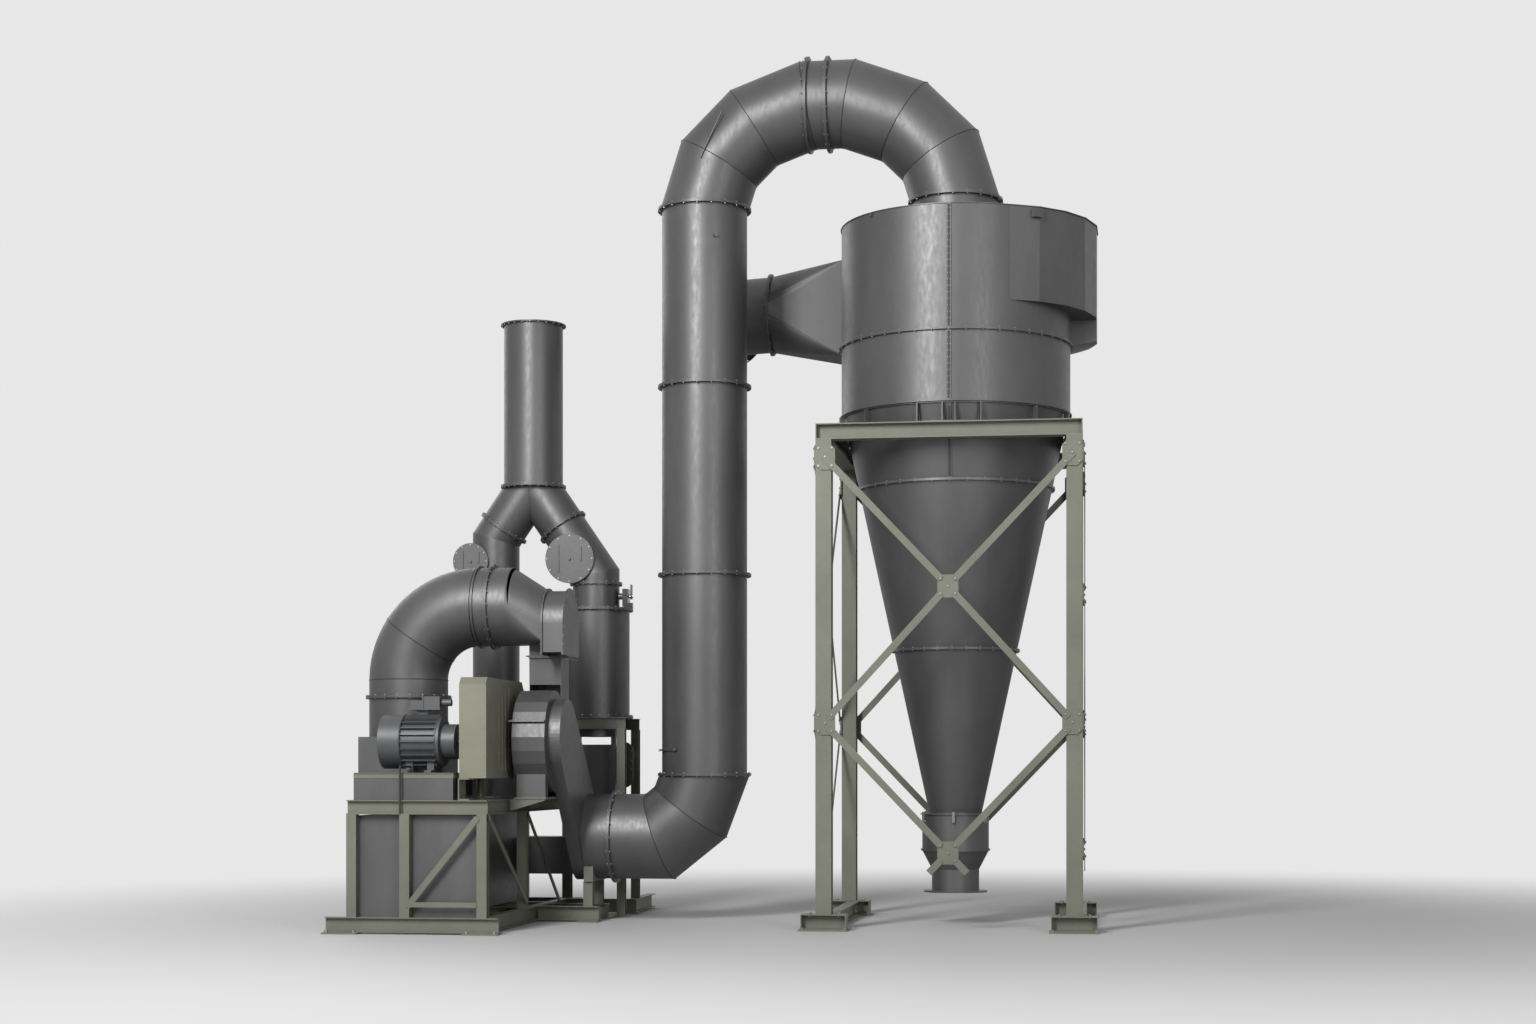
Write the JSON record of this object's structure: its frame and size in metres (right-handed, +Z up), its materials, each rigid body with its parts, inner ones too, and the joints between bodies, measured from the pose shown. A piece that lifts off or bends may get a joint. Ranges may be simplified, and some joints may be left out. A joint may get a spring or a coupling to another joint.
{
  "type": "cyclone filter",
  "caption": "Cyclone dust filter on a braced steel frame, with scroll inlet, swan-neck duct, belt-driven fan skid and forked exhaust stack",
  "frame": {"origin": "on the floor, on the cyclone's vertical axis", "axes": "X to the right along the frame's front, from the fan skid to the cyclone; Y to the back; Z up"},
  "size_m": [7.636, 4.7795, 9.18],
  "materials": {
    "duct_steel": "satin grey paint on rolled sheet steel",
    "frame_paint": "satin olive grey paint",
    "guard_paint": "satin pale olive paint",
    "zinc_bolts": "dull zinc",
    "turned_steel": "turned steel",
    "motor_paint": "satin dark grey paint",
    "cast_parts": "painted cast iron",
    "belt_rubber": "matte black rubber",
    "cover_steel": "satin light grey paint",
    "drive_paint": "semi-gloss near-black paint"
  },
  "bodies": {
    "plant": {"barrel_upper": "duct_steel", "scroll": "duct_steel", "roof": "duct_steel", "barrel_lower": "duct_steel", "vortex_finder": "duct_steel", "cone_upper": "duct_steel", "cone_middle": "duct_steel", "cone_lower": "duct_steel", "hopper": "duct_steel", "hopper_clamps": "zinc_bolts", "support_ring": "duct_steel", "inlet_transition": "duct_steel", "inlet_elbow": "duct_steel", "cyclone_legs": "frame_paint", "cyclone_beams": "frame_paint", "cyclone_feet": "frame_paint", "foot_bolts": "zinc_bolts", "brace_bars": "frame_paint", "gussets": "frame_paint", "roof_bend": "duct_steel", "riser_bend": "duct_steel", "riser_lower": "duct_steel", "riser_middle": "duct_steel", "riser_upper": "duct_steel", "lower_elbow": "duct_steel", "inlet_box": "duct_steel", "fan_casing": "duct_steel", "inlet_ring": "cover_steel", "fan_stand": "frame_paint", "belts": "belt_rubber", "fan_bearings": "cast_parts", "motor_body": "motor_paint", "terminal_box": "motor_paint", "motor_platform": "frame_paint", "belt_guard": "guard_paint", "turning_box": "duct_steel", "return_bend": "duct_steel", "return_pipe": "duct_steel", "stack": "duct_steel", "fork": "duct_steel", "left_leg": "duct_steel", "right_leg": "duct_steel", "valve_covers": "cover_steel", "silencer": "duct_steel", "silencer_core": "cover_steel", "damper_body": "duct_steel", "damper_drive": "drive_paint", "plenum": "duct_steel", "silencer_feed": "duct_steel", "skid_frame": "frame_paint", "skid_braces": "frame_paint", "conduit": "belt_rubber"},
    "fan_rotor": {"impeller": "cover_steel", "fan_shaft": "turned_steel", "fan_pulley": "cast_parts"},
    "motor_spindle": {"motor_rotor": "motor_paint", "cooling_fan": "motor_paint", "motor_pulley": "cast_parts"},
    "damper": {"damper_blade": "turned_steel", "damper_lever": "cover_steel"}
  },
  "joints": [
    {"name": "fan_spin", "type": "hinge", "parent": "plant", "child": "fan_rotor", "pos_m": [-4.7, -1.05, 1.95], "axis": [1, 0, 0], "continuous": true},
    {"name": "motor_spin", "type": "hinge", "parent": "plant", "child": "motor_spindle", "pos_m": [-4.9, -1.9, 1.9], "axis": [1, 0, 0], "continuous": true},
    {"name": "damper_turn", "type": "hinge", "parent": "plant", "child": "damper", "pos_m": [-4.08, 1, 3.56], "axis": [1, 0, 0], "range_deg": [0, 90]}
  ],
  "couplings": [
    {"joint": "motor_spin", "follows": "fan_spin", "ratio": 1.4286}
  ]
}
